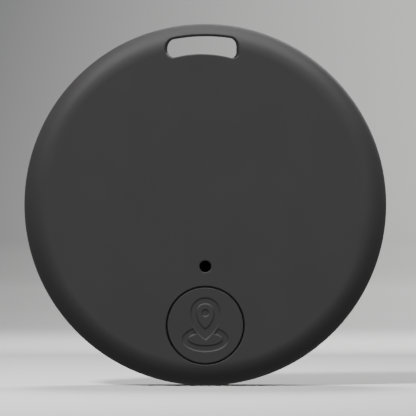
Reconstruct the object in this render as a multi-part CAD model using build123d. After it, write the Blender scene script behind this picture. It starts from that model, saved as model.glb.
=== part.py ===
from build123d import *
from math import sqrt
import os

# Round Bluetooth tracker tag. Two dished shells snap together around a circuit board, a CR2032
# coin cell and a piezo sounder. A key slot goes through both shells at the top of the disc, and a
# round button with a debossed map pin sits low on the front face, under a small sound port.
#
# Frame: the disc's centre is the origin. +X is to the right and +Z is up, towards the key slot.
# Y is the disc's axis: the front face is at -Y and the rear face at +Y. All sizes are millimetres.

os.makedirs("parts", exist_ok=True)

# Case
CASE_R = 21.0
EDGE_R = 2.65
HALF_DEPTH = 4.0
WALL = 1.2
SEAM_GAP = 0.08
SEAM_BEVEL = 0.12
INNER_R = CASE_R - WALL
INNER_FACE = HALF_DEPTH - WALL

# Key slot: a curved band with rounded corners, between the disc's own curve and a tighter one
SLOT_OUTER_R = 19.6
SLOT_LOW_R = 13.0
SLOT_LOW_Z = 17.45
SLOT_WIDTH = 8.0
SLOT_SHIFT = -0.4
SLOT_CORNERS = {"upper left": 1.15, "lower left": 0.9, "upper right": 1.05, "lower right": 0.66}
SLOT_FLARE = 0.26
SLOT_LIP = 0.14
COLLAR_WALL = 0.8

# Rear cover's tongue and catches
TONGUE_GAP = 0.08
TONGUE_WALL = 0.6
TONGUE_DEPTH = 0.95
CATCH_HEIGHT = 0.28
CATCH_WIDTH = 4.0
CATCH_ANGLES = (0, 180, 235, 305)
RIM_RIB_ANGLES = (10, 50, 130, 170, 210, 250, 290, 330)
COVER_RIB_ANGLES = (195, 220, 245, 270, 295, 320, 345)
PRY_WIDTH = 7.0
PRY_DEPTH = 0.75

# Button and sound port
BUTTON_Z = -13.95
BUTTON_R = 4.375
BUTTON_HOLE_R = 4.555
BUTTON_EDGE = 0.08
BUTTON_BACK = -2.57
EAR_REACH = 5.3
EAR_WIDTH = 1.8
EAR_ANGLES = (25, 155, 205, 335)
LINE_WIDTH = 0.52
LINE_DEPTH = 0.1
LINE_BEVEL = 0.16
LINE_BEVEL_DEPTH = 0.09
PORT_Z = -7.13
PORT_R = 0.66
PORT_EDGE = 0.14

# Circuit board
BOARD_R = 18.7
BOARD_FRONT = -1.75
BOARD_BACK = -0.95
COPPER = 0.035
SCREW_PLACES = ((-13.6, -9.4), (13.6, -9.4), (-13.2, 11.2))
SCREW_R = 0.58
SCREW_LENGTH = 2.0
BOSS_R = 1.3

# Coin cell, CR2032
CELL_R = 10.0
CELL_HEIGHT = 3.2
CELL_Z = 4.5
CELL_FRONT = -0.75
CELL_BACK = CELL_FRONT + CELL_HEIGHT
CELL_SHEET = 0.25
HOLDER_TOP = 2.0
HOLDER_GAP = 0.12
PEG_R = 0.5
PEG_PLACES = ((5.28, 13.64), (-5.28, -4.64))

# Small parts: middle in X and Z. Chip parts add their turn, and 1 for the board's rear face or -1
# for its front face.
CHIP_PLACE = (-5.6, -11.6)
CRYSTAL_PLACE = (-10.4, -11.0)
LED_PLACE = (8.4, -12.6)
INDUCTOR_PLACE = (-12.6, -2.2, 0, -1)
CAPACITOR_PLACES = (
    (-10.4, -8.4, 0, 1),
    (-10.4, -13.6, 0, 1),
    (-8.0, -15.2, 0, 1),
    (-5.2, -15.2, 90, 1),
    (-1.8, -12.6, 90, 1),
    (-1.8, -14.4, 90, 1),
    (4.2, -8.6, 0, 1),
    (6.2, -8.6, 0, 1),
    (14.4, 0.6, 90, 1),
    (-12.4, -5.2, 0, -1),
    (12.6, -4.6, 90, -1),
)
RESISTOR_PLACES = (
    (-3.6, -15.2, 90, 1),
    (8.2, -8.6, 0, 1),
    (10.2, -11.0, 90, 1),
    (14.4, -1.4, 90, 1),
    (14.4, -3.4, 90, 1),
    (-14.6, 0.8, 90, 1),
    (10.6, -12.6, 90, -1),
    (11.0, -4.6, 90, -1),
)

# Piezo sounder
SOUNDER_R = 7.5
SOUNDER_Z = -1.3
SOUNDER_RIB = 0.5
SOUNDER_SEAT = -2.45


def layer(sketch, front, back):
    """A solid whose outline lies in X and Z, between two depths."""
    back_plane = Plane((0, back, 0), x_dir=(1, 0, 0), z_dir=(0, -1, 0))
    return extrude(back_plane * sketch, amount=back - front)


def disc(radius, front, back, x=0, z=0):
    return layer(Pos(x, z) * Circle(radius), front, back)


def ring(outer, inner, front, back, x=0, z=0):
    return disc(outer, front, back, x, z) - disc(inner, front, back, x, z)


def block(width, height, front, back, x=0, z=0):
    return layer(Pos(x, z) * Rectangle(width, height), front, back)


def dome(radius, edge, height, side):
    """A rounded disc with its base on the seam plane, towards the front (-1) or the rear (1)."""
    flat = radius - edge
    shoulder = height - edge
    middle = edge * sqrt(0.5)
    straight = Polyline(
        (radius, side * shoulder), (radius, 0), (0, 0), (0, side * height), (flat, side * height)
    )
    bend = ThreePointArc(
        (flat, side * height), (flat + middle, side * (shoulder + middle)), (radius, side * shoulder)
    )
    return revolve(make_face(straight + bend), Axis.Y)


def envelope(side):
    """The outside of one shell, cut back from the seam."""
    start, end = sorted((side * SEAM_GAP / 2, side * HALF_DEPTH))
    return dome(CASE_R, EDGE_R, HALF_DEPTH, side) & disc(CASE_R + 1, start, end)


def cavity(side):
    return dome(INNER_R, EDGE_R - WALL, INNER_FACE, side)


def slot_outline(flare=0.0):
    """The key slot as it is seen from the front. A flare widens its ends."""
    band = Pos(SLOT_SHIFT, SLOT_LOW_Z) * Rectangle(SLOT_WIDTH + 2 * flare, SLOT_LOW_R)
    below = Pos(SLOT_SHIFT, SLOT_LOW_Z - SLOT_LOW_R) * Circle(SLOT_LOW_R)
    outline = (Circle(SLOT_OUTER_R) & band) - below
    for name, radius in SLOT_CORNERS.items():
        across = -SLOT_WIDTH if "left" in name else SLOT_WIDTH
        up = SLOT_OUTER_R if "upper" in name else SLOT_LOW_Z - 2
        corner = outline.vertices().sort_by_distance((across, up))[0]
        outline = fillet(corner, radius)
    return outline


def slot_cut(side):
    """The key slot through one shell. Its walls lean out from the seam towards the face."""
    reach = 1.25
    layers = []
    for share in (0, reach):
        plane = Plane((0, side * share * HALF_DEPTH, 0), x_dir=(1, 0, 0), z_dir=(0, -1, 0))
        layers.append(plane * slot_outline(SLOT_FLARE * share))
    return loft(layers, ruled=True)


def soften_slot(shell, side):
    """Rounds the key slot's outer edge."""
    lip = [
        edge
        for edge in shell.edges()
        if edge.center().Z > SLOT_LOW_Z - 1.1
        and side * edge.center().Y > HALF_DEPTH - WALL / 2
        and abs(edge.center().X - SLOT_SHIFT) < SLOT_WIDTH / 2 + SLOT_FLARE + 0.1
    ]
    return fillet(lip, SLOT_LIP)


def soften_hole(shell, z, hole_r, size):
    """Rounds the edge of a round hole where it meets the front face."""
    rim = [
        edge
        for edge in shell.edges()
        if edge.center().Y < -HALF_DEPTH + 0.1
        and abs(edge.center().Z - z) < hole_r + 0.1
        and abs(edge.center().X) < hole_r + 0.1
    ]
    return fillet(rim, size)


def bare_shell(side):
    """One shell with its cavity, its slot and the collar round it, and a bevel along the seam."""
    outside = envelope(side)
    depths = sorted((side * SEAM_GAP / 2, side * HALF_DEPTH))
    collar = layer(offset(slot_outline(SLOT_FLARE), COLLAR_WALL), *depths) & outside
    shell = outside - cavity(side) + collar - slot_cut(side)
    shell = soften_slot(shell, side)
    seam = [e for e in shell.edges().filter_by(GeomType.CIRCLE) if abs(e.radius - CASE_R) < 0.01]
    seam = [e for e in seam if abs(e.center().Y) < SEAM_GAP]
    return chamfer(seam, SEAM_BEVEL)


def spoke(angle, width, length, front, back, start):
    """A bar in the disc's plane that points away from its centre, at an angle above +X."""
    return Rot(0, -angle, 0) * block(length, width, front, back, start + length / 2)


def catch_tabs(reach, width, front, back):
    """Short arcs that stand out of the tongue, or the pockets that they go into."""
    band = ring(reach, INNER_R - TONGUE_WALL, front, back)
    return [band & spoke(angle, width, CASE_R, front, back, 0) for angle in CATCH_ANGLES]


def front_shell():
    """The front half of the case, with everything that is moulded on its inside."""
    shell = bare_shell(-1)
    shell -= disc(BUTTON_HOLE_R, -HALF_DEPTH - 1, -1.0, z=BUTTON_Z)
    shell -= disc(PORT_R, -HALF_DEPTH - 1, -1.0, z=PORT_Z)
    shell = soften_hole(shell, BUTTON_Z, BUTTON_HOLE_R, BUTTON_EDGE)
    shell = soften_hole(shell, PORT_Z, PORT_R, PORT_EDGE)
    inside = ring(
        SOUNDER_R, SOUNDER_R - SOUNDER_RIB, -INNER_FACE - 0.2, SOUNDER_SEAT, z=SOUNDER_Z
    )
    guide = ring(EAR_REACH + 0.75, EAR_REACH + 0.15, -INNER_FACE - 0.2, -2.0, z=BUTTON_Z)
    inside += guide & (block(4, 8, -4, 0, -6, BUTTON_Z) + block(4, 8, -4, 0, 6, BUTTON_Z))
    for x, z in SCREW_PLACES:
        inside += disc(BOSS_R, -INNER_FACE - 0.2, BOARD_FRONT, x, z)
    for angle in RIM_RIB_ANGLES:
        inside += spoke(angle, 0.7, 1.0, -INNER_FACE - 0.2, BOARD_FRONT - 0.2, BOARD_R - 0.9)
    shell += inside & envelope(-1)
    for x, z in SCREW_PLACES:
        shell -= disc(SCREW_R + 0.02, -INNER_FACE - 0.35, -1.0, x, z)
    pocket_reach = INNER_R + CATCH_HEIGHT
    for pocket in catch_tabs(pocket_reach, CATCH_WIDTH + 0.3, -TONGUE_DEPTH - 0.1, 0):
        shell -= pocket
    return shell


def rear_cover():
    """The rear half of the case, with the tongue that pushes into the front shell."""
    cover = bare_shell(1)
    near_slot = block(SLOT_WIDTH + 4.2, CASE_R, -2, 2, SLOT_SHIFT, CASE_R)
    outer = INNER_R - TONGUE_GAP
    tongue = ring(outer, outer - TONGUE_WALL, -TONGUE_DEPTH, SEAM_GAP / 2)
    root = ring(INNER_R + 0.1, outer - TONGUE_WALL, SEAM_GAP / 2, 1.6) & envelope(1)
    cover += (tongue + root) - near_slot
    catch_reach = INNER_R + CATCH_HEIGHT - 0.08
    for tab in catch_tabs(catch_reach, CATCH_WIDTH, -TONGUE_DEPTH + 0.2, -0.3):
        cover += tab
    press_ring = ring(CELL_R + 1.05, CELL_R + 0.35, HOLDER_TOP + 0.1, INNER_FACE + 0.2, z=CELL_Z)
    press_ring -= block(8, 8, 0, HALF_DEPTH, 0, CELL_Z + CELL_R)
    cover += press_ring
    for angle in COVER_RIB_ANGLES:
        cover += spoke(angle, 0.7, 5.5, INNER_FACE - 0.6, INNER_FACE + 0.2, 13.2) & envelope(1)
    cover -= block(PRY_WIDTH, 2 * PRY_DEPTH, 0, 1.0, 0, -CASE_R)
    arrow = Pos(0, -16.4) * RegularPolygon(1.3, 3, rotation=-90)
    cover -= layer(arrow, HALF_DEPTH - 0.15, HALF_DEPTH + 1)
    return cover


def pin_outline(inset=0.0, tip_rise=0.0):
    """A map pin: a half circle on two arcs that meet in a point."""
    head_r = 1.62 - inset
    head_z = 1.5
    tip_z = tip_rise - 1.57
    flank_r = (head_r**2 + (head_z - tip_z) ** 2) / (2 * head_r)
    drop = (head_z - tip_z) / 2
    bulge = head_r - (flank_r - sqrt(flank_r**2 - drop**2))
    top = ThreePointArc((-head_r, head_z), (0, head_z + head_r), (head_r, head_z))
    right = ThreePointArc((head_r, head_z), (bulge, head_z - drop), (0, tip_z))
    left = ThreePointArc((0, tip_z), (-bulge, head_z - drop), (-head_r, head_z))
    return make_face([top, right, left])


def pictogram():
    """The recessed lines on the button: a map pin with a dot, standing on a flat ring."""
    pin = pin_outline() - pin_outline(LINE_WIDTH, 1.1) + Pos(0, 1.44) * Circle(0.32)
    outer = Ellipse(2.57, 1.34)
    inner = Ellipse(2.57 - LINE_WIDTH, 1.34 - LINE_WIDTH)
    ripple = Pos(0, -1.6) * (outer - inner) - pin_outline(-0.38, -0.46)
    return pin, ripple


def find_button():
    """The button: a plug level with the case's face, four ears behind the wall, and lines on it."""
    plug = disc(BUTTON_R, -HALF_DEPTH, BUTTON_BACK, z=BUTTON_Z)
    plug = fillet(plug.faces().sort_by(Axis.Y)[0].edges(), BUTTON_EDGE)
    ears = ring(EAR_REACH, BUTTON_R - 0.5, -INNER_FACE + 0.05, BUTTON_BACK + 0.12, z=BUTTON_Z)
    for angle in EAR_ANGLES:
        plug += ears & Pos(0, 0, BUTTON_Z) * spoke(angle, EAR_WIDTH, EAR_REACH, -3, -2, 0)
    for lines in pictogram():
        plug -= Pos(0, 0, BUTTON_Z) * layer(lines, -HALF_DEPTH - 1, -HALF_DEPTH + LINE_DEPTH)
    return bevel_lines(plug)


def bevel_lines(plug):
    """Slopes the sides of the button's lines, from each flat stretch of its face in turn."""
    for place in range(len(face_stretches(plug))):
        stretch = face_stretches(plug)[place]
        sides = [
            edge
            for edge in stretch.edges()
            if edge.bounding_box().size.X < 2 * BUTTON_R - 1
        ]
        plug = chamfer(sides, LINE_BEVEL, LINE_BEVEL_DEPTH, reference=stretch)
    return plug


def face_stretches(plug):
    """The flat stretches of the button's front face, from the smallest to the largest."""
    front = [face for face in plug.faces() if abs(face.center().Y + HALF_DEPTH) < 1e-4]
    return ShapeList(front).sort_by(SortBy.AREA)


def port_mesh():
    return disc(1.1, -INNER_FACE, -INNER_FACE + 0.1, z=PORT_Z)


def sounder():
    """The piezo sounder: a tape ring, a brass plate, its ceramic, and a silver electrode on that."""
    tape_back = SOUNDER_SEAT + 0.05
    plate_back = tape_back + 0.15
    ceramic_back = plate_back + 0.12
    inner = SOUNDER_R - SOUNDER_RIB + 0.05
    return {
        "sounder_tape": ring(SOUNDER_R, inner, SOUNDER_SEAT, tape_back, z=SOUNDER_Z),
        "sounder_plate": disc(SOUNDER_R - 0.05, tape_back, plate_back, z=SOUNDER_Z),
        "sounder_ceramic": disc(5.0, plate_back, ceramic_back, z=SOUNDER_Z),
        "sounder_electrode": disc(4.6, ceramic_back, ceramic_back + 0.03, z=SOUNDER_Z),
    }


def bent_strip(points, thickness, width, bend):
    """A stamped strip: a path in X and Y with rounded bends, as wide in Z as it is asked to be."""
    path = FilletPolyline(*points, radius=bend)
    return extrude(trace(path, line_width=thickness), amount=width / 2, both=True)


def sounder_contacts():
    """Two spring fingers from the board, one to the brass plate and one to the electrode."""
    fingers = []
    for foot_x, tip_y in ((2.0, -2.05), (4.9, -2.2)):
        lift = bent_strip(
            [
                (foot_x - 1.2, BOARD_FRONT - 0.04),
                (foot_x + 0.2, BOARD_FRONT - 0.04),
                (foot_x + 1.0, tip_y),
                (foot_x + 1.5, tip_y + 0.12),
            ],
            thickness=0.08,
            width=1.2,
            bend=0.15,
        )
        fingers.append(Pos(0, 0, SOUNDER_Z) * lift)
    return Compound(fingers)


def circuit_board():
    """A round board with a notch for the slot's collar, and holes for screws and holder pegs."""
    outline = Circle(BOARD_R) - Pos(SLOT_SHIFT, 15.6 + 3) * Rectangle(11.7, 6)
    outline = fillet(outline.vertices(), 0.4)
    for x, z in SCREW_PLACES:
        outline -= Pos(x, z) * Circle(0.75)
    for x, z in PEG_PLACES:
        outline -= Pos(x, z) * Circle(PEG_R + 0.05)
    return layer(outline, BOARD_FRONT, BOARD_BACK)


def board_pads():
    """Gold pads on the rear of the board: the cell's three contacts and a row of test pads."""
    back = BOARD_BACK + COPPER
    pads = [disc(3.7, BOARD_BACK, back, z=CELL_Z)]
    pads += [block(2.3, 3.4, BOARD_BACK, back, side * 12.0, CELL_Z) for side in (-1, 1)]
    pads += [disc(0.55, BOARD_BACK, back, x=-14.6, z=z) for z in (-1.0, -2.6, -4.2, -5.8)]
    pads += [disc(0.55, BOARD_BACK, back, x=x, z=-17.2) for x in (-4.6, -3.0, -1.4)]
    return Compound(pads)


def printed_antenna():
    """A copper track that folds to and fro along the lower edge of the board."""
    track = [(-2.0, -10.6), (1.4, -10.6)]
    for fold in range(5):
        x = 1.4 + 1.6 * fold
        track += [(x, -12.4), (x, -16.1)] if fold % 2 == 0 else [(x, -16.1), (x, -12.4)]
    path = FilletPolyline(*track[:2], *track[3:], radius=0.25)
    return layer(trace(path, line_width=0.5), BOARD_BACK, BOARD_BACK + COPPER)


def bluetooth_chip():
    body = block(5, 5, BOARD_BACK + 0.05, BOARD_BACK + 0.85, *CHIP_PLACE)
    body = chamfer(body.faces().sort_by(Axis.Y)[-1].edges(), 0.08)
    x, z = CHIP_PLACE
    return body - disc(0.25, BOARD_BACK + 0.78, BOARD_BACK + 1, x - 1.9, z + 1.9)


def chip_leads():
    """Eight solder lands along each side of the chip."""
    x, z = CHIP_PLACE
    leads = []
    for step in range(8):
        along = (step - 3.5) * 0.5
        for side in (-2.4, 2.4):
            leads.append(block(0.25, 0.5, BOARD_BACK, BOARD_BACK + 0.05, x + along, z + side))
            leads.append(block(0.5, 0.25, BOARD_BACK, BOARD_BACK + 0.05, x + side, z + along))
    return Compound(leads)


def crystal():
    """A quartz crystal: a ceramic tray with a metal lid."""
    x, z = CRYSTAL_PLACE
    lid = block(2.2, 2.9, BOARD_BACK + 0.4, BOARD_BACK + 0.7, x, z)
    return {
        "crystal_tray": block(2.5, 3.2, BOARD_BACK, BOARD_BACK + 0.4, x, z),
        "crystal_lid": fillet(lid.faces().sort_by(Axis.Y)[-1].edges(), 0.12),
    }


def chip_part(place, length, width, height):
    """The middle and the two soldered ends of one small chip part, on either face of the board."""
    x, z, turn, side = place
    near = BOARD_BACK if side > 0 else BOARD_FRONT
    end = length * 0.22
    middle = sorted((near, near + side * height))
    wrap = sorted((near, near + side * (height + 0.03)))
    body = block(length - 2 * end, width, *middle)
    tips = [block(end, width, *wrap, x=s * (length - end) / 2) for s in (-1, 1)]
    move = Pos(x, 0, z) * Rot(0, -turn, 0)
    return move * body, [move * tip for tip in tips]


def chip_parts():
    """Capacitors, resistors and the sounder's inductor, with all their soldered ends in one node."""
    capacitors, resistors, ends = [], [], []
    for place in CAPACITOR_PLACES:
        body, tips = chip_part(place, 1.0, 0.5, 0.5)
        capacitors.append(body)
        ends += tips
    for place in RESISTOR_PLACES:
        body, tips = chip_part(place, 1.0, 0.5, 0.32)
        resistors.append(body)
        ends += tips
    inductor, tips = chip_part(INDUCTOR_PLACE, 3.0, 3.0, 0.85)
    ends += tips
    return {
        "capacitor_bodies": Compound(capacitors),
        "resistor_bodies": Compound(resistors),
        "sounder_inductor": inductor,
        "soldered_ends": Compound(ends),
    }


def status_led():
    """A side-by-side lamp: a white base with a clear domed lens, facing the front shell."""
    x, z = LED_PLACE
    lens = block(1.0, 0.8, BOARD_FRONT - 0.7, BOARD_FRONT - 0.3, x, z)
    return {
        "led_base": block(1.6, 0.8, BOARD_FRONT - 0.3, BOARD_FRONT, x, z),
        "led_lens": fillet(lens.faces().sort_by(Axis.Y)[0].edges(), 0.15),
    }


def push_switch():
    """The low switch under the button: base, terminals, sprung dome, plunger and steel cover."""
    here = Pos(0, 0, BUTTON_Z)
    base_front = BOARD_FRONT - 0.45
    floor = BOARD_FRONT - 0.12
    dome_tip = -2.11
    dome_rise = 0.19
    dome_base_r = 1.2
    dome_r = (dome_base_r**2 + dome_rise**2) / (2 * dome_rise)
    dome_centre = Pos(0, dome_tip + dome_r, 0)
    base = block(4.2, 3.4, base_front, BOARD_FRONT) - disc(1.3, base_front, floor)
    cover = block(4.2, 3.4, base_front - 0.1, base_front) - disc(0.9, base_front - 0.1, base_front)
    plunger = disc(1.15, base_front + 0.01, base_front + 0.08)
    plunger += disc(0.8, BUTTON_BACK + 0.02, base_front + 0.08)
    spring = dome_centre * (Sphere(dome_r) - Sphere(dome_r - 0.05))
    spring &= disc(dome_base_r, dome_tip, dome_tip + dome_rise)
    feet = [
        block(0.7, 0.6, BOARD_FRONT - 0.12, BOARD_FRONT, x, z)
        for x in (-2.45, 2.45)
        for z in (-1.1, 1.1)
    ]
    for z in (-1.75, 1.75):
        cover += block(3.0, 0.1, base_front - 0.1, BOARD_FRONT - 0.1, 0, z)
    return {
        "switch_base": here * base,
        "switch_cover": here * cover,
        "switch_plunger": here * plunger,
        "switch_dome": here * spring,
        "switch_terminals": here * Compound(feet),
    }


def board_screws():
    """Three pan-head screws, each with a cross recess and rings for its thread."""
    head = revolve(
        make_face(
            Polyline((0, BOARD_BACK), (1.1, BOARD_BACK), (1.1, BOARD_BACK + 0.3))
            + ThreePointArc(
                (1.1, BOARD_BACK + 0.3), (0.65, BOARD_BACK + 0.47), (0, BOARD_BACK + 0.52)
            )
            + Line((0, BOARD_BACK + 0.52), (0, BOARD_BACK))
        ),
        Axis.Y,
    )
    core = SCREW_R - 0.13
    pitch = 0.35
    turns = 4
    profile = [(0, BOARD_BACK), (core, BOARD_BACK), (core, BOARD_FRONT)]
    for turn in range(turns):
        y = BOARD_FRONT - pitch * (turn + 0.5)
        profile += [(core, y + 0.12), (SCREW_R, y), (core, y - 0.12)]
    tip = BOARD_BACK - SCREW_LENGTH - 0.2
    profile += [(core, tip + 0.15), (core - 0.2, tip), (0, tip)]
    screw = head + revolve(make_face(Polyline(*profile, close=True)), Axis.Y)
    screw -= block(1.1, 0.22, BOARD_BACK + 0.25, BOARD_BACK + 1)
    screw -= block(0.22, 1.1, BOARD_BACK + 0.25, BOARD_BACK + 1)
    return Compound([Pos(x, 0, z) * screw for x, z in SCREW_PLACES])


def coin_cell():
    """A CR2032 cell: steel can to the rear, steel cap to the front, and what lies between them."""
    front, back = CELL_FRONT, CELL_BACK
    crimp = front + 0.2
    can = disc(CELL_R, crimp, back)
    can = fillet(can.faces().sort_by(Axis.Y)[-1].edges(), 0.4)
    can = fillet(can.faces().sort_by(Axis.Y)[0].edges(), 0.15)
    can -= disc(CELL_R - CELL_SHEET, crimp + CELL_SHEET, back - CELL_SHEET)
    can -= disc(9.2, crimp - 1, crimp + CELL_SHEET)
    can -= block(3.6, 0.8, back - 0.07, back + 1) + block(0.8, 3.6, back - 0.07, back + 1)
    cap = disc(8.9, front, 1.7)
    cap = fillet(cap.faces().sort_by(Axis.Y)[0].edges(), 0.2)
    cap -= disc(8.9 - CELL_SHEET, front + CELL_SHEET, 1.7)
    gasket = ring(CELL_R - CELL_SHEET, 8.9, crimp + CELL_SHEET, 1.9)
    gasket += ring(9.2, 8.9, crimp + 0.02, crimp + CELL_SHEET)
    gasket += ring(CELL_R - CELL_SHEET, 8.4, 1.7, 1.9)
    here = Pos(0, 0, CELL_Z)
    return {
        "cell_can": here * can,
        "cell_cap": here * cap,
        "cell_gasket": here * gasket,
        "cell_cathode": here * disc(8.3, 0.75, back - CELL_SHEET),
        "cell_separator": here * disc(8.6, 0.65, 0.75),
        "cell_anode": here * disc(8.4, front + CELL_SHEET, 0.65),
    }


def cell_holder():
    """A moulded ring round the cell, with windows for two contacts and a dip for a fingernail."""
    wall = ring(CELL_R + 1.0, CELL_R + HOLDER_GAP, BOARD_BACK, HOLDER_TOP)
    wall = chamfer(wall.faces().sort_by(Axis.Y)[-1].edges(), 0.15)
    for angle in (0, 180):
        wall -= spoke(angle, 4.0, CELL_R + 2, BOARD_BACK, HOLDER_TOP - 0.5, 0)
    wall -= spoke(305, 7.0, CELL_R + 2, BOARD_BACK + 0.5, HOLDER_TOP, 0)
    wall = Pos(0, 0, CELL_Z) * wall
    for x, z in PEG_PLACES:
        wall += disc(PEG_R, BOARD_FRONT, BOARD_BACK + 0.1, x, z)
    return wall


def positive_contacts():
    """Two sprung blades that press on the sides of the can."""
    foot_y = BOARD_BACK + COPPER + 0.075
    blade = bent_strip(
        [(12.8, foot_y), (10.95, foot_y), (CELL_R + 0.11, 0.6), (CELL_R + 0.42, 1.4)],
        thickness=0.15,
        width=3.0,
        bend=0.25,
    )
    right = Pos(0, 0, CELL_Z) * blade
    return Compound([right, mirror(right, about=Plane.YZ)])


def negative_contact():
    """A stamped disc on the board with three windows and a raised middle that meets the cap."""
    base = BOARD_BACK + COPPER
    plate = disc(3.3, base, base + 0.1)
    for angle in (30, 150, 270):
        plate -= Rot(0, -angle, 0) * disc(0.75, base, base + 0.1, 2.0)
    plate += disc(1.0, base, CELL_FRONT - 0.01)
    return Pos(0, 0, CELL_Z) * plate


def cell_pad():
    return disc(6.5, CELL_BACK + 0.03, INNER_FACE, z=CELL_Z)


NODES = {
    "front_shell": front_shell(),
    "rear_cover": rear_cover(),
    "find_button": find_button(),
    "port_mesh": port_mesh(),
    "sounder_contacts": sounder_contacts(),
    "circuit_board": circuit_board(),
    "board_pads": board_pads(),
    "printed_antenna": printed_antenna(),
    "bluetooth_chip": bluetooth_chip(),
    "chip_leads": chip_leads(),
    "board_screws": board_screws(),
    "cell_holder": cell_holder(),
    "positive_contacts": positive_contacts(),
    "negative_contact": negative_contact(),
    "cell_pad": cell_pad(),
    **sounder(),
    **crystal(),
    **chip_parts(),
    **status_led(),
    **push_switch(),
    **coin_cell(),
}

for name, shape in NODES.items():
    export_step(shape, f"parts/{name}.step")
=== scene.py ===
import math

import bpy
import bmesh
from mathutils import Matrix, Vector


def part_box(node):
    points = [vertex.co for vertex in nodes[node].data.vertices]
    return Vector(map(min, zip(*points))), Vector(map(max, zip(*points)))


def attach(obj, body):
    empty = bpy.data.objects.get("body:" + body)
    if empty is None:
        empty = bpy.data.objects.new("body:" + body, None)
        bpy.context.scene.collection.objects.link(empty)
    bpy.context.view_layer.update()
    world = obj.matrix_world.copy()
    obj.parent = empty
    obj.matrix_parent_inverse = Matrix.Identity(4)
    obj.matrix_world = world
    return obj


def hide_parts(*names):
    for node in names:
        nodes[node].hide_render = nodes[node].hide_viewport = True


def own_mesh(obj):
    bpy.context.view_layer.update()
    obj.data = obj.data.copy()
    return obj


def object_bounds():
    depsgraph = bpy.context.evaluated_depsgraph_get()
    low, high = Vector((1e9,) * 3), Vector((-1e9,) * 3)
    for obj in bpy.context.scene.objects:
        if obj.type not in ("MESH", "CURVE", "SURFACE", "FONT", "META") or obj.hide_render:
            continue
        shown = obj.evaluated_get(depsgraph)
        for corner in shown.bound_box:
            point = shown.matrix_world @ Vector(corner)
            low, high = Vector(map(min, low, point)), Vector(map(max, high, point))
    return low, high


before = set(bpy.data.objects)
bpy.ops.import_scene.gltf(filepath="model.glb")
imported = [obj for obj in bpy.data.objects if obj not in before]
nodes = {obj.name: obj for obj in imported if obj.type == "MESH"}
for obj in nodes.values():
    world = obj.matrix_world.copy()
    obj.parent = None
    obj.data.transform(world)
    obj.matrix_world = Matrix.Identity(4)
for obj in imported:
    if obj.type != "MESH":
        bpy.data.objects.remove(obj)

# A round Bluetooth tracker tag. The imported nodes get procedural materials, and four of them get
# finer pieces beside or in place of them. Lengths are in metres, and sizes in millimetres are
# multiplied by MM. Colours are linear red, green and blue.
MM = 0.001
cad_low, cad_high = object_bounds()


# ---------------------------------------------------------------- materials
# How far a surface turns away from its rounded self where edge wear and the painted edge highlight begin, and
# where they are complete.
WEAR_AND_HIGHLIGHT_STARTS = 0.03
WEAR_AND_HIGHLIGHT_ENDS = 0.35


def shade(colour, share):
    """A colour made darker or lighter."""
    return tuple(min(1.0, value * share) for value in colour)


class Nodes:
    """A short way to write a material's node tree."""

    def __init__(self, name):
        self.material = bpy.data.materials.new(name)
        self.material.use_nodes = True
        self.tree = self.material.node_tree
        self.shader = self.tree.nodes["Principled BSDF"]
        self.place = self.add("ShaderNodeTexCoord").outputs["Object"]

    def add(self, kind, **values):
        node = self.tree.nodes.new(kind)
        for key, value in values.items():
            setattr(node, key, value)
        return node

    def link(self, source, target):
        self.tree.links.new(source, target)

    def split(self, vector):
        node = self.add("ShaderNodeSeparateXYZ")
        self.link(vector, node.inputs["Vector"])
        return node.outputs

    def stretched(self, scale):
        mapping = self.add("ShaderNodeMapping")
        mapping.inputs["Scale"].default_value = scale
        self.link(self.place, mapping.inputs["Vector"])
        return mapping.outputs["Vector"]

    def noise(self, scale, detail=3.0, roughness=0.5, vector=None):
        node = self.add("ShaderNodeTexNoise")
        node.inputs["Scale"].default_value = scale
        node.inputs["Detail"].default_value = detail
        node.inputs["Roughness"].default_value = roughness
        self.link(vector or self.place, node.inputs["Vector"])
        return node.outputs["Fac"]

    def cells(self, output, scale, **values):
        node = self.add("ShaderNodeTexVoronoi", **values)
        node.inputs["Scale"].default_value = scale
        self.link(self.place, node.inputs["Vector"])
        return node.outputs[output]

    def remap(self, value, low, high, out_low=0.0, out_high=1.0):
        node = self.add("ShaderNodeMapRange")
        node.inputs["From Min"].default_value = low
        node.inputs["From Max"].default_value = high
        node.inputs["To Min"].default_value = out_low
        node.inputs["To Max"].default_value = out_high
        self.link(value, node.inputs["Value"])
        return node.outputs["Result"]

    def math(self, operation, a, b=0.0):
        node = self.add("ShaderNodeMath", operation=operation)
        for socket, value in zip(node.inputs, (a, b)):
            if isinstance(value, (int, float)):
                socket.default_value = value
            else:
                self.link(value, socket)
        return node.outputs["Value"]

    def mix(self, factor, a, b):
        node = self.add("ShaderNodeMix", data_type="RGBA")
        self.link(factor, node.inputs["Factor"])
        for socket, value in ((node.inputs["A"], a), (node.inputs["B"], b)):
            if isinstance(value, tuple):
                socket.default_value = (*value, 1.0)
            else:
                self.link(value, socket)
        return node.outputs["Result"]

    def edges(self, size=0.10 * MM):
        """Where the surface turns sharply within a distance: 0 on flats, 1 on edges."""
        rounded = self.add("ShaderNodeBevel", samples=6)
        rounded.inputs["Radius"].default_value = size
        plain = self.add("ShaderNodeNewGeometry")
        turn = self.add("ShaderNodeVectorMath", operation="DOT_PRODUCT")
        self.link(rounded.outputs["Normal"], turn.inputs[0])
        self.link(plain.outputs["Normal"], turn.inputs[1])
        return self.remap(self.math("SUBTRACT", 1.0, turn.outputs["Value"]), WEAR_AND_HIGHLIGHT_STARTS, WEAR_AND_HIGHLIGHT_ENDS)

    def bump(self, height, strength, distance):
        node = self.add("ShaderNodeBump")
        node.inputs["Strength"].default_value = strength
        node.inputs["Distance"].default_value = distance
        self.link(height, node.inputs["Height"])
        return node.outputs["Normal"]

    def set(self, name, value):
        socket = self.shader.inputs[name]
        if isinstance(value, (int, float)):
            socket.default_value = value
        elif isinstance(value, tuple):
            socket.default_value = (*value, 1.0)
        else:
            self.link(value, socket)


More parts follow.
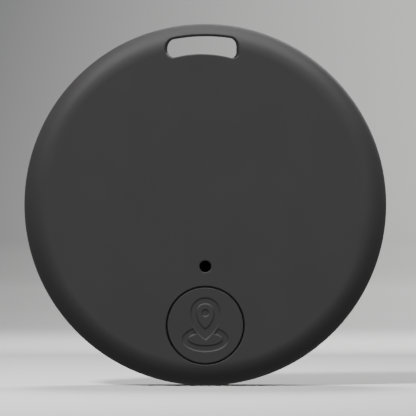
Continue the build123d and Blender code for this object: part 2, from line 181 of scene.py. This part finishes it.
def moulded(name, colour, rough=(0.44, 0.52), grain=9000, depth=0.006 * MM):
    """Moulded plastic: fine spark-eroded grain, soft blotches of sheen, and edges worn smoother and painted
    lighter, partly wear and partly a painted highlight.
    """
    m = Nodes(name)
    blotch = m.noise(160, roughness=0.55)
    fine = m.noise(grain, roughness=0.6)
    base = m.mix(m.remap(blotch, 0.35, 0.65), shade(colour, 0.97), shade(colour, 1.04))
    worn_and_highlit = m.edges()
    # Painted highlight along edges, partly wear: edges are painted lighter.
    m.set("Base Color", m.mix(worn_and_highlit, base, shade(colour, 1.25)))
    sheen = m.remap(fine, 0.3, 0.7, rough[1], rough[0])
    sheen = m.math("ADD", sheen, m.remap(blotch, 0.3, 0.7, -0.02, 0.02))
    m.set("Roughness", m.math("SUBTRACT", sheen, m.math("MULTIPLY", worn_and_highlit, 0.08)))
    m.set("Normal", m.bump(fine, 0.25, depth))
    return m.material


def metal(name, colour, rough=(0.24, 0.38), brush=(400, 9000, 9000)):
    """Metal with fine brushing along one axis, faint tarnish, and edges painted brighter as a highlight."""
    m = Nodes(name)
    lines = m.noise(1.0, 4.0, 0.65, m.stretched(brush))
    tarnish = m.remap(m.noise(500), 0.35, 0.7)
    base = m.mix(tarnish, colour, shade(colour, 0.9))
    # Painted highlight: edges are painted brighter.
    m.set("Base Color", m.mix(m.edges(0.06 * MM), base, shade(colour, 1.15)))
    m.set("Roughness", m.remap(lines, 0.3, 0.7, rough[0], rough[1]))
    m.set("Normal", m.bump(lines, 0.3, 0.003 * MM))
    m.set("Metallic", 1.0)
    return m.material


def turned_metal(name, colour, centre, rough=(0.22, 0.36)):
    """Sheet metal polished round an axis along Y, with fine circles and a faint stain."""
    m = Nodes(name)
    fineness = 9000
    place = m.split(m.place)
    across = m.math("SUBTRACT", place["X"], centre[0])
    upwards = m.math("SUBTRACT", place["Z"], centre[1])
    squares = m.math("ADD", m.math("MULTIPLY", across, across), m.math("MULTIPLY", upwards, upwards))
    rings = m.add("ShaderNodeCombineXYZ")
    m.link(m.math("MULTIPLY", m.math("SQRT", squares), fineness), rings.inputs["X"])
    m.link(m.math("MULTIPLY", place["Y"], fineness), rings.inputs["Y"])
    circles = m.noise(1.0, 4.0, 0.6, rings.outputs["Vector"])
    stain = m.remap(m.noise(260, 4.0, 0.6), 0.4, 0.75)
    base = m.mix(stain, colour, shade(colour, 0.88))
    # Painted highlight: edges are painted brighter.
    m.set("Base Color", m.mix(m.edges(0.06 * MM), base, shade(colour, 1.12)))
    scuffed = m.remap(m.noise(700, 5.0, 0.7), 0.45, 0.75, 0.0, 0.10)
    m.set("Roughness", m.math("ADD", m.remap(circles, 0.3, 0.7, rough[0], rough[1]), scuffed))
    m.set("Normal", m.bump(circles, 0.25, 0.003 * MM))
    m.set("Metallic", 1.0)
    return m.material


def solder(name):
    """Tin solder: bright, slightly lumpy, with dull patches where flux sat."""
    m = Nodes(name)
    lumps = m.noise(3500, roughness=0.55)
    dull = m.noise(1200)
    m.set("Base Color", m.mix(m.remap(dull, 0.4, 0.65), TIN, shade(TIN, 0.8)))
    m.set("Roughness", m.remap(dull, 0.3, 0.7, 0.18, 0.42))
    m.set("Normal", m.bump(lumps, 0.5, 0.02 * MM))
    m.set("Metallic", 1.0)
    return m.material


def speckled(name, colour, fleck):
    """Fired or pressed powder: tiny flecks of another tone, a matte skin, and edges painted lighter as a
    highlight.
    """
    m = Nodes(name)
    grain = 14000
    flecks = m.remap(m.cells("Distance", grain), 0.15, 0.55, 1.0, 0.0)
    fine = m.noise(grain, roughness=0.6)
    base = m.mix(flecks, colour, fleck)
    # Painted highlight: edges are painted lighter.
    m.set("Base Color", m.mix(m.edges(0.05 * MM), base, shade(colour, 1.3)))
    m.set("Roughness", m.remap(fine, 0.3, 0.7, 0.55, 0.70))
    m.set("Normal", m.bump(fine, 0.35, 0.004 * MM))
    return m.material


def laminate(name, mask, core):
    """A circuit board: glossy mask over a glass weave on its faces, and bare laminate on its edges."""
    m = Nodes(name)
    thread_pitch = 0.42 * MM
    normal = m.split(m.add("ShaderNodeTexCoord").outputs["Normal"])
    facing = m.remap(m.math("ABSOLUTE", normal["Y"]), 0.4, 0.6)
    place = m.split(m.place)
    thread = 2 * math.pi / thread_pitch
    warp = m.math("SINE", m.math("MULTIPLY", place["X"], thread))
    weft = m.math("SINE", m.math("MULTIPLY", place["Z"], thread))
    weave = m.remap(m.math("MULTIPLY", warp, weft), -1.0, 1.0)
    tint = m.mix(weave, shade(mask, 0.9), shade(mask, 1.12))
    blotch = m.remap(m.noise(220, roughness=0.55), 0.3, 0.7, 0.0, 0.35)
    tint = m.mix(blotch, tint, shade(mask, 0.75))
    plies = m.noise(1.0, roughness=0.6, vector=m.stretched((900, 16000, 900)))
    edge = m.mix(plies, shade(core, 0.75), core)
    m.set("Base Color", m.mix(facing, edge, tint))
    m.set("Roughness", m.remap(facing, 0.0, 1.0, 0.75, 0.26))
    m.set("Normal", m.bump(m.math("MULTIPLY", weave, facing), 0.25, 0.004 * MM))
    return m.material


def clear_resin(name, colour):
    """A cast lens: clear, faintly warm, with a little bloom under its skin."""
    m = Nodes(name)
    bloom = m.noise(1800, 2.0)
    m.set("Base Color", m.mix(m.remap(bloom, 0.35, 0.7), colour, shade(colour, 0.93)))
    m.set("Roughness", m.remap(bloom, 0.3, 0.7, 0.05, 0.12))
    m.set("Normal", m.bump(m.noise(5000, 2.0), 0.08, 0.003 * MM))
    m.set("Transmission Weight", 0.75)
    m.set("IOR", 1.5)
    return m.material


def cell_foam(name, colour):
    """Open-cell foam: pits painted dark as shade between thin walls painted lighter as light, all the way
    over.
    """
    m = Nodes(name)
    walls = m.remap(m.cells("Distance", 5200, feature="DISTANCE_TO_EDGE"), 0.0, 0.16, 1.0, 0.0)
    fuzz = m.noise(12000, roughness=0.6)
    # Painted light and shade: cell walls are painted lighter and the pits between them darker.
    painted_light_on_walls = m.math("MULTIPLY", walls, m.remap(fuzz, 0.2, 0.8, 0.5, 1.0))
    m.set("Base Color", m.mix(painted_light_on_walls, colour, shade(colour, 1.9)))
    m.set("Roughness", m.remap(fuzz, 0.3, 0.7, 0.85, 0.98))
    m.set("Normal", m.bump(walls, 0.8, 0.05 * MM))
    m.set("Specular IOR Level", 0.25)
    m.set("Sheen Weight", 0.3)
    return m.material


def felted(name, colour):
    """Pressed fibre: two directions of fine strands."""
    m = Nodes(name)
    along = m.noise(1.0, roughness=0.6, vector=m.stretched((900, 9000, 9000)))
    over = m.noise(1.0, roughness=0.6, vector=m.stretched((9000, 9000, 900)))
    fibres = m.math("MAXIMUM", along, over)
    m.set("Base Color", m.mix(m.remap(fibres, 0.4, 0.8), shade(colour, 0.85), colour))
    m.set("Roughness", m.remap(fibres, 0.3, 0.8, 0.95, 0.82))
    m.set("Normal", m.bump(fibres, 0.5, 0.02 * MM))
    return m.material


# ---------------------------------------------------------------- finishes
CHARCOAL = (0.0745, 0.0715, 0.0735)
NICKEL = (0.70, 0.69, 0.66)
GOLD = (0.88, 0.64, 0.28)
TIN = (0.72, 0.72, 0.71)
MASK = (0.012, 0.085, 0.045)
LAMINATE = (0.42, 0.33, 0.17)
PAD_BRUSH = (3000, 9000, 3000)


def middle(node):
    """The middle of a node in X and Z."""
    low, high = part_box(node)
    return ((low.x + high.x) / 2, (low.z + high.z) / 2)


cell_middle = middle("cell_can")
sounder_middle = middle("sounder_plate")

FINISHES = {
    "front_shell": moulded("shell_moulding", CHARCOAL),
    "rear_cover": moulded("cover_moulding", CHARCOAL),
    "find_button": moulded("button_moulding", shade(CHARCOAL, 0.97)),
    "sounder_tape": moulded("tape_black", (0.02, 0.02, 0.02), rough=(0.6, 0.75)),
    "sounder_plate": turned_metal("brass_rolled", (0.78, 0.58, 0.28), sounder_middle),
    "sounder_ceramic": speckled("ceramic_fired", (0.62, 0.55, 0.42), (0.50, 0.44, 0.33)),
    "sounder_electrode": turned_metal("silver_print", (0.78, 0.78, 0.75), sounder_middle, rough=(0.42, 0.58)),
    "sounder_contacts": metal("finger_nickel", NICKEL),
    "circuit_board": laminate("board_mask", MASK, LAMINATE),
    "board_pads": metal("pad_gold", GOLD, rough=(0.2, 0.34), brush=PAD_BRUSH),
    "printed_antenna": metal("antenna_gold", GOLD, rough=(0.24, 0.36), brush=PAD_BRUSH),
    "bluetooth_chip": speckled("chip_resin", (0.018, 0.018, 0.019), (0.035, 0.035, 0.036)),
    "chip_leads": solder("lead_tin"),
    "crystal_tray": speckled("tray_ceramic", (0.22, 0.17, 0.12), (0.30, 0.24, 0.17)),
    "crystal_lid": metal("lid_plated", (0.76, 0.73, 0.63), rough=(0.22, 0.32)),
    "capacitor_bodies": speckled("capacitor_ceramic", (0.33, 0.21, 0.11), (0.40, 0.27, 0.15)),
    "resistor_bodies": moulded("resistor_glaze", (0.015, 0.015, 0.017), rough=(0.22, 0.34)),
    "sounder_inductor": speckled("ferrite_grey", (0.06, 0.06, 0.064), (0.11, 0.11, 0.115)),
    "soldered_ends": solder("end_tin"),
    "led_base": moulded("led_white", (0.80, 0.80, 0.77), rough=(0.4, 0.5)),
    "led_lens": clear_resin("led_clear", (0.95, 0.93, 0.82)),
    "switch_base": moulded("switch_resin", (0.018, 0.018, 0.018), rough=(0.5, 0.62)),
    "switch_cover": metal("switch_sheet", (0.68, 0.68, 0.67)),
    "switch_dome": turned_metal("dome_sheet", (0.72, 0.72, 0.70), middle("switch_dome")),
    "switch_plunger": moulded("plunger_resin", (0.50, 0.47, 0.40), rough=(0.4, 0.5)),
    "switch_terminals": solder("terminal_tin"),
    "board_screws": metal("screw_black", (0.16, 0.16, 0.17), rough=(0.3, 0.45), brush=(6000, 3000, 6000)),
    "cell_holder": moulded("holder_nylon", (0.026, 0.026, 0.028), (0.5, 0.6), grain=7000, depth=0.008 * MM),
    "positive_contacts": metal("blade_nickel", NICKEL, rough=(0.2, 0.34), brush=(9000, 9000, 500)),
    "negative_contact": turned_metal("disc_nickel", NICKEL, cell_middle),
    "cell_can": turned_metal("can_nickel", (0.70, 0.70, 0.685), cell_middle),
    "cell_cap": turned_metal("cap_nickel", (0.64, 0.64, 0.63), cell_middle, rough=(0.34, 0.46)),
    "cell_gasket": moulded("gasket_grey", (0.20, 0.20, 0.21), rough=(0.4, 0.5)),
    "cell_cathode": speckled("cathode_mix", (0.016, 0.016, 0.016), (0.03, 0.03, 0.03)),
    "cell_anode": metal("anode_soft", (0.50, 0.51, 0.52), rough=(0.45, 0.6)),
    "cell_separator": felted("separator_felt", (0.80, 0.80, 0.78)),
}
for node, material in FINISHES.items():
    nodes[node].data.materials.clear()
    nodes[node].data.materials.append(material)


# ---------------------------------------------------------------- mesh helpers
def piece(name, verts, faces, material, body, smooth=True):
    """A new mesh object that rides on a body."""
    mesh = bpy.data.meshes.new(name)
    mesh.from_pydata(verts, [], faces)
    mesh.validate()
    obj = bpy.data.objects.new(name, mesh)
    bpy.context.scene.collection.objects.link(obj)
    work = bmesh.new()
    work.from_mesh(mesh)
    bmesh.ops.recalc_face_normals(work, faces=work.faces)
    work.to_mesh(mesh)
    work.free()
    for polygon in mesh.polygons:
        polygon.use_smooth = smooth
    mesh.materials.append(material)
    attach(obj, body)
    return obj


def weld(obj, distance=1e-7):
    """Joins points that lie on each other, such as the middle of a disc."""
    work = bmesh.new()
    work.from_mesh(obj.data)
    bmesh.ops.remove_doubles(work, verts=work.verts, dist=distance)
    bmesh.ops.dissolve_degenerate(work, edges=work.edges, dist=distance)
    bmesh.ops.recalc_face_normals(work, faces=work.faces)
    work.to_mesh(obj.data)
    work.free()


def tube(line, radius, sides, verts, faces):
    """Adds a round wire along a line of points that all lie near one plane across Y."""
    first = len(verts)
    for i, point in enumerate(line):
        ahead = line[min(i + 1, len(line) - 1)] - line[max(i - 1, 0)]
        side = ahead.cross(Vector((0, 1, 0))).normalized()
        rise = side.cross(ahead).normalized()
        for k in range(sides):
            turn = 2 * math.pi * k / sides
            verts.append(point + radius * (math.cos(turn) * side + math.sin(turn) * rise))
    for i in range(len(line) - 1):
        for k in range(sides):
            a, b = first + i * sides + k, first + i * sides + (k + 1) % sides
            faces.append((a, b, b + sides, a + sides))
    faces.append(tuple(range(first, first + sides)))
    faces.append(tuple(range(len(verts) - sides, len(verts))))


def turned(profile, centre, segments, verts, faces, closed=False, waver=None):
    """Adds a profile of radii and Y values, turned round an axis along Y."""
    first = len(verts)
    rows = len(profile)
    for radius, y in profile:
        for k in range(segments):
            turn = 2 * math.pi * k / segments
            reach = radius * waver(turn) if waver else radius
            verts.append(Vector((centre[0] + reach * math.cos(turn), y, centre[1] + reach * math.sin(turn))))
    for i in range(rows if closed else rows - 1):
        row, following = first + i * segments, first + (i + 1) % rows * segments
        for k in range(segments):
            beside = (k + 1) % segments
            faces.append((row + k, row + beside, following + beside, following + k))


# ---------------------------------------------------------------- sound port
def woven_port(node="port_mesh", pitch=0.07 * MM, wire_r=0.024 * MM):
    """The sound port's screen: fine wires woven over and under each other, inside a flat rim."""
    rim_share = 0.80
    low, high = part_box(node)
    centre = (low + high) / 2
    reach = (high.x - low.x) / 2
    verts, faces = [], []
    count = int(reach / pitch)
    for crosswise in (False, True):
        for i in range(-count, count + 1):
            offset = (i + 0.5 * crosswise) * pitch
            if abs(offset) > reach - 2 * wire_r:
                continue
            half = math.sqrt((reach - wire_r) ** 2 - offset**2)
            steps = max(4, 2 * round(3 * half / pitch))
            line = []
            for step in range(steps + 1):
                along = half * (2 * step / steps - 1)
                phase = math.pi * (along / pitch + (0 if crosswise else 0.5) + i)
                lift = 0.98 * wire_r * math.sin(phase)
                x, z = (offset, along) if crosswise else (along, offset)
                line.append(Vector((centre.x + x, centre.y + lift, centre.z + z)))
            tube(line, wire_r, 5, verts, faces)
    inner = rim_share * reach
    rim = ((inner, low.y), (reach, low.y), (reach, high.y), (inner, high.y))
    turned(rim, middle(node), 96, verts, faces, closed=True)
    wire = metal("weave_black", (0.008, 0.008, 0.008), rough=(0.55, 0.7))
    obj = piece("port_weave", verts, faces, wire, "case")
    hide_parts(node)


def port_shade_sheet(node="port_mesh"):
    """A black membrane against the rear of the sound port's screen, put there as painted shade so the port
    reads dark.
    """
    low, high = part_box(node)
    radius = 0.9 * (high.x - low.x) / 2
    segments = 96
    verts, faces = [], []
    sides = [(radius, high.y - inset) for inset in (0.02 * MM, 0.004 * MM)]
    turned(sides, middle(node), segments, verts, faces)
    faces += [tuple(range(segments)), tuple(range(segments, 2 * segments))]
    # Painted shade: a black sheet that darkens the port.
    black = felted("shade_sheet_black", (0.012, 0.012, 0.012))
    piece("port_shade_sheet", verts, faces, black, "case", False)


# ---------------------------------------------------------------- foam pad
def cut_waver(turn):
    """How much of its radius a die-cut disc keeps at an angle."""
    depth = 0.0015
    return 1 - depth * (1 - math.sin(5 * turn + 1.1) * math.sin(3 * turn))


def foam_disc(node="cell_pad"):
    """The foam pad that holds the cell down: a die-cut disc whose cut edge rounds over a little."""
    low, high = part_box(node)
    reach = (high.x - low.x) / 2
    thick = high.y - low.y
    rings, edge_steps = 26, 8
    face_share = 0.985
    drop = 0.05 * thick
    profile = []
    for i in range(rings + 1):
        share = i / rings
        profile.append((reach * face_share * share, low.y + drop * share**4))
    for i in range(1, edge_steps):
        turn = math.pi * i / edge_steps
        radius = reach * (face_share + (1 - face_share) * math.sin(turn))
        profile.append((radius, low.y + drop + (thick - 2 * drop) * (1 - math.cos(turn)) / 2))
    for i in range(rings + 1):
        share = 1 - i / rings
        profile.append((reach * face_share * share, high.y - drop * share**4))
    verts, faces = [], []
    turned(profile, middle(node), 128, verts, faces, waver=cut_waver)
    obj = piece("foam_pad", verts, faces, cell_foam("pad_cells", (0.035, 0.035, 0.037)), "cover")
    weld(obj)
    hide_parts(node)


# ---------------------------------------------------------------- snap dome
def snap_dome(node="switch_dome", sheet=0.05 * MM):
    """The switch's sprung dome, built at rest; the real one flattens on its base as the button goes in."""
    low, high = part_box(node)
    centre = middle(node)
    reach = (high.x - low.x) / 2
    rise = high.y - low.y
    sphere_r = (reach**2 + rise**2) / (2 * rise)
    inner_r = math.sqrt((sphere_r - sheet) ** 2 - (sphere_r - rise) ** 2)
    rings = 14
    profile = []
    for i in range(rings + 1):
        radius = reach * i / rings
        profile.append((radius, low.y + sphere_r - math.sqrt(sphere_r**2 - radius**2)))
    for i in range(rings + 1):
        radius = inner_r * (1 - i / rings)
        profile.append((radius, low.y + sphere_r - math.sqrt((sphere_r - sheet) ** 2 - radius**2)))
    verts, faces = [], []
    turned(profile, centre, 72, verts, faces)
    obj = piece("sprung_dome", verts, faces, FINISHES[node], "case")
    weld(obj)
    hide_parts(node)
    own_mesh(obj)


# ---------------------------------------------------------------- what is printed on the board
# In this section, points, widths and heights are in millimetres.
BOARD_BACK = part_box("circuit_board")[1].y
TRACK_WIDTH = 0.2
TRACK_HEIGHT = 0.03
RAIL_R = 17.9
RAIL_WIDTH = 0.5
VIA_R = 0.2
VIA_WIDTH = 0.16
VIA_HEIGHT = 0.04
PRINT_HEIGHT = 0.02
CELL_PRINT_R = 11.45
CELL_PRINT_WIDTH = 0.15
CORNER_ARM = 0.8
CORNER_WIDTH = 0.13
PLUS_ARM = 0.5
PLUS_WIDTH = 0.18
PLUS_SIGNS = ((14.0, 8.2), (-14.0, 8.2))
TRACKS = (
    ((-8.0, -10.8), (-9.3, -10.8)),
    ((-8.0, -12.3), (-9.3, -12.3)),
    ((-8.0, -9.9), (-8.6, -9.3), (-13.4, -4.5), (-14.6, -4.2)),
    ((-7.35, -9.2), (-7.35, -8.6), (-12.2, -3.6), (-12.9, -2.6), (-14.6, -2.6)),
    ((-6.85, -9.2), (-6.85, -8.2), (-11.6, -3.2), (-13.4, -1.0), (-14.6, -1.0)),
    ((-14.6, -5.8), (-13.6, -5.8), (-11.0, -8.4)),
    ((-9.8, -8.4), (-9.0, -9.2), (-8.0, -10.3)),
    ((-6.35, -9.2), (-6.35, -7.6), (-4.2, -5.4), (-4.2, 0.4), (-2.4, 2.2)),
    ((-4.1, -9.2), (-4.1, -8.3), (-3.4, -7.6), (3.0, -7.6), (3.7, -8.3)),
    ((4.7, -8.6), (5.7, -8.6)),
    ((6.7, -8.6), (7.7, -8.6)),
    ((8.7, -8.6), (9.6, -8.6), (10.2, -9.2), (10.2, -10.5)),
    ((-3.2, -10.6), (-2.0, -10.6)),
    ((-3.2, -11.35), (-2.5, -11.35), (-1.8, -12.1)),
    ((-3.2, -13.1), (-1.8, -13.1), (-1.8, -13.9)),
    ((-7.1, -14.0), (-7.1, -14.7), (-7.6, -15.2)),
    ((-5.35, -14.0), (-5.2, -14.7)),
    ((-4.35, -14.0), (-3.6, -14.7)),
    ((-5.2, -15.7), (-5.2, -16.6), (-4.6, -17.2)),
    ((-3.6, -15.7), (-3.6, -16.6), (-3.0, -17.2)),
    ((-1.8, -14.9), (-1.8, -16.8), (-1.4, -17.2)),
    ((-8.0, -13.3), (-9.3, -13.6), (-9.9, -13.6)),
    ((14.4, 1.1), (14.4, 2.4), (13.1, 3.7)),
    ((14.4, 0.1), (14.4, -0.9)),
    ((14.4, -1.9), (14.4, -2.9)),
    ((14.4, -3.9), (14.4, -5.2), (10.8, -8.8), (10.2, -9.4)),
    ((-14.6, 1.3), (-14.6, 2.8), (-13.1, 4.3)),
    ((-14.6, 0.3), (-14.6, -1.0)),
    ((12.0, 6.2), (12.0, 9.0), (9.4, 11.6), (9.4, 14.0)),
    ((-12.0, 6.2), (-12.0, 7.6), (-15.2, 10.8), (-14.4, 11.6)),
    ((10.2, -11.5), (10.2, -12.6), (11.6, -14.0)),
)
VIAS = (
    (9.4, 14.0), (8.2, 14.3), (10.6, 13.2), (11.6, -14.0), (12.4, -12.8), (-11.6, -12.4), (-12.2, -5.6),
    (-9.2, -6.2), (3.4, -6.8), (0.2, -8.6), (-1.2, -8.6), (13.2, -0.4), (13.2, -2.2), (-13.2, 0.4),
    (6.4, -17.0), (8.0, -16.4), (9.6, -15.6), (16.6, 2.4), (16.4, 4.6), (-16.8, 3.0), (-16.6, 5.2),
)


def ribbon(points, width, height, verts, faces):
    """Adds a flat raised strip along points in X and Z on the board's rear face, mitred at bends."""
    side_slope = 0.25
    least_mitre = 0.3
    flat = [Vector((x * MM, z * MM)) for x, z in points]
    first = len(verts)
    for i, point in enumerate(flat):
        before = (point - flat[i - 1]).normalized() if i else None
        after = (flat[i + 1] - point).normalized() if i < len(flat) - 1 else None
        before, after = before or after, after or before
        along = (before + after).normalized()
        side = Vector((-along.y, along.x))
        reach = width * MM / 2 / max(least_mitre, side.dot(Vector((-after.y, after.x))))
        for sign, inset, y in ((-1, 0, 0), (-1, side_slope, height), (1, side_slope, height), (1, 0, 0)):
            place = point + sign * side * (reach - inset * height * MM)
            verts.append(Vector((place.x, BOARD_BACK + y * MM, place.y)))
    for i in range(len(flat) - 1):
        a = first + 4 * i
        for j in range(4):
            faces.append((a + j, a + 4 + j, a + 4 + (j + 1) % 4, a + (j + 1) % 4))
    faces.append((first, first + 1, first + 2, first + 3))
    faces.append(tuple(range(len(verts) - 4, len(verts))))


def circle(x, z, radius, steps, start=0.0, sweep=360.0):
    """Points along an arc in X and Z, from a start over a sweep in degrees."""
    turns = [math.radians(start + sweep * i / steps) for i in range(steps + 1)]
    return [(x + radius * math.cos(turn), z + radius * math.sin(turn)) for turn in turns]


def board_tracks():
    """Copper tracks and two rails near the board's rim, under the mask."""
    verts, faces = [], []
    for route in TRACKS:
        ribbon(route, TRACK_WIDTH, TRACK_HEIGHT, verts, faces)
    for start, sweep in ((-40, 96), (126, 88)):
        ribbon(circle(0, 0, RAIL_R, 120, start, sweep), RAIL_WIDTH, TRACK_HEIGHT, verts, faces)
    masked = laminate("track_mask", (0.03, 0.17, 0.08), MASK)
    piece("board_tracks", verts, faces, masked, "case", False)


def board_vias():
    """Tinned rings of the plated holes."""
    verts, faces = [], []
    for x, z in VIAS:
        ribbon(circle(x, z, VIA_R, 16), VIA_WIDTH, VIA_HEIGHT, verts, faces)
    piece("board_vias", verts, faces, solder("via_tin"), "case", False)


def board_outlines():
    """White print: arcs round the cell, corners round the chip and the crystal, and two plus signs."""
    verts, faces = [], []
    cell_x, cell_z = (value / MM for value in cell_middle)
    for steps, start, sweep in ((60, 15, 48), (60, 117, 48), (140, 195, 150)):
        arc = circle(cell_x, cell_z, CELL_PRINT_R, steps, start, sweep)
        ribbon(arc, CELL_PRINT_WIDTH, PRINT_HEIGHT, verts, faces)
    for node, gap in (("bluetooth_chip", 0.4), ("crystal_tray", 0.3)):
        low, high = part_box(node)
        x0, x1 = low.x / MM - gap, high.x / MM + gap
        z0, z1 = low.z / MM - gap, high.z / MM + gap
        for x, z, dx, dz in ((x0, z0, 1, 1), (x1, z0, -1, 1), (x0, z1, 1, -1), (x1, z1, -1, -1)):
            corner = ((x, z + dz * CORNER_ARM), (x, z), (x + dx * CORNER_ARM, z))
            ribbon(corner, CORNER_WIDTH, PRINT_HEIGHT, verts, faces)
    for x, z in PLUS_SIGNS:
        ribbon(((x - PLUS_ARM, z), (x + PLUS_ARM, z)), PLUS_WIDTH, PRINT_HEIGHT, verts, faces)
        ribbon(((x, z - PLUS_ARM), (x, z + PLUS_ARM)), PLUS_WIDTH, PRINT_HEIGHT + 0.001, verts, faces)
    white = moulded("print_white", (0.75, 0.75, 0.72), rough=(0.6, 0.7))
    piece("board_outlines", verts, faces, white, "case", False)


woven_port()
port_shade_sheet()
foam_disc()
snap_dome()
board_tracks()
board_vias()
board_outlines()


# ---------------------------------------------------------------- studio paper, its wall painted with light and shade
FLOOR_Z = cad_low.z
WALL_Y = 1.45
FRONT_PAPER = (0.045, 0.045, 0.0448)
# The wall's colours are painted light and shade: darker at the upper left and lighter to the right.
LOW_LEFT_PAINTED_SHADE = (0.305, 0.308, 0.305)
HIGH_LEFT_PAINTED_SHADE = (0.205, 0.206, 0.209)
RIGHT_PAINTED_LIGHT = (0.83, 0.835, 0.82)
# How far behind the tag the front's tone begins to change, and where the wall's painted light and shade is
# reached.
TONE_STARTS = 0.11
TONE_ENDS = 0.50
# The part of the wall that the camera sees, in X and in Z above the floor.
WALL_HALF_WIDTH = 0.075
WALL_HEIGHT = 0.09


def sweep(name, front, back, height, cove, width):
    """A floor that curves up into a wall behind the object."""
    profile = [(front, 0.0)]
    steps = 24
    for i in range(steps + 1):
        turn = math.pi / 2 * i / steps
        profile.append((back - cove + cove * math.sin(turn), cove - cove * math.cos(turn)))
    profile.append((back, height))
    mesh = bpy.data.meshes.new(name)
    verts = [(x, y, z) for y, z in profile for x in (-width, width)]
    faces = [(2 * i, 2 * i + 1, 2 * i + 3, 2 * i + 2) for i in range(len(profile) - 1)]
    mesh.from_pydata(verts, [], faces)
    for polygon in mesh.polygons:
        polygon.use_smooth = True
    obj = bpy.data.objects.new(name, mesh)
    bpy.context.scene.collection.objects.link(obj)
    obj.location = (0, 0, FLOOR_Z)
    obj.visible_diffuse = False
    obj.visible_glossy = False
    return obj


def studio_paper_painted_light():
    """Matte paper: one tone in front, and behind it a wall painted with light and shade, darker at the upper
    left and lighter to the right.
    """
    m = Nodes("studio_paper_painted_light")
    place = m.split(m.place)
    across = m.remap(place["X"], -WALL_HALF_WIDTH, WALL_HALF_WIDTH)
    behind = m.remap(place["Y"], TONE_STARTS, TONE_ENDS)
    upwards = m.remap(place["Z"], 0.0, WALL_HEIGHT)
    # Painted light and shade: the wall is darker at the upper left and lighter to the right, and the front's
    # tone turns into it behind the tag.
    wall = m.mix(across, m.mix(upwards, LOW_LEFT_PAINTED_SHADE, HIGH_LEFT_PAINTED_SHADE), RIGHT_PAINTED_LIGHT)
    m.set("Base Color", m.mix(behind, FRONT_PAPER, wall))
    m.set("Roughness", 0.95)
    m.set("Specular IOR Level", 0.0)
    return m.material


floor = sweep("studio_sweep", front=-2.0, back=WALL_Y, height=2.0, cove=0.35, width=2.5)
floor.data.materials.append(studio_paper_painted_light())


# ---------------------------------------------------------------- lights
MIDDLE = (0, 0, 0)
FLOOR_SPOT = (0, 0, FLOOR_Z)
NARROW = 75


def softbox(name, place, target, size, power, spread=180):
    """A rectangular light at a place in metres, aimed at a target, with its power in watts."""
    light = bpy.data.lights.new(name, "AREA")
    light.shape = "RECTANGLE"
    light.size, light.size_y = size
    light.energy = power
    light.spread = math.radians(spread)
    obj = bpy.data.objects.new(name, light)
    bpy.context.scene.collection.objects.link(obj)
    obj.location = place
    obj.rotation_euler = (Vector(target) - Vector(place)).to_track_quat("-Z", "Y").to_euler()
    return obj


softbox("top_box", (0.0, -0.17, 0.52), MIDDLE, (0.90, 0.50), 3.6)
softbox("key", (-0.34, -0.36, 0.44), MIDDLE, (0.22, 0.22), 0.6)
softbox("front_fill", (0.10, -1.3, 0.16), MIDDLE, (1.2, 0.8), 1.75)
OBJECT_LIGHTS = (
    softbox("rear_fill", (0.25, 1.1, 0.50), MIDDLE, (0.8, 0.6), 3.4),
    softbox("rim_light", (0.05, 0.45, 0.90), MIDDLE, (0.8, 0.5), 1.6),
)
PAPER_LIGHTS = (
    softbox("wall_wash", (0, 0.75, 1.2), (0, WALL_Y, 0.05), (1.5, 0.3), 12.7),
    softbox("floor_key", (-0.13, -0.19, 0.20), FLOOR_SPOT, (0.05, 0.05), 3.9, NARROW),
    softbox("floor_back", (0.0, 0.155, 0.26), FLOOR_SPOT, (0.14, 0.14), 3.2, NARROW),
)
for light in PAPER_LIGHTS + OBJECT_LIGHTS:
    receivers = bpy.data.collections.new(light.name + "_receivers")
    receivers.objects.link(floor)
    lit = "INCLUDE" if light in PAPER_LIGHTS else "EXCLUDE"
    receivers.collection_objects[0].light_linking.link_state = lit
    light.light_linking.receiver_collection = receivers

world = bpy.data.worlds.new("studio")
world.use_nodes = True
world.node_tree.nodes["Background"].inputs["Color"].default_value = (1, 1, 1, 1)
world.node_tree.nodes["Background"].inputs["Strength"].default_value = 0.15
bpy.context.scene.world = world


# ---------------------------------------------------------------- camera
DISTANCE = 0.80
ELEVATION = math.radians(0.6)
VIEW_WIDTH = 48.29 * MM
SENSOR_WIDTH = 36
AIM = Vector((0.31 * MM, -1.0 * MM, -0.39 * MM))
lens = bpy.data.cameras.new("camera")
lens.sensor_width = SENSOR_WIDTH
lens.lens = SENSOR_WIDTH * DISTANCE / VIEW_WIDTH
lens.clip_start = 0.01
lens.clip_end = 20
camera = bpy.data.objects.new("camera", lens)
bpy.context.scene.collection.objects.link(camera)
camera.location = AIM + DISTANCE * Vector((0, -math.cos(ELEVATION), math.sin(ELEVATION)))
camera.rotation_euler = (AIM - camera.location).to_track_quat("-Z", "Y").to_euler()
bpy.context.scene.camera = camera
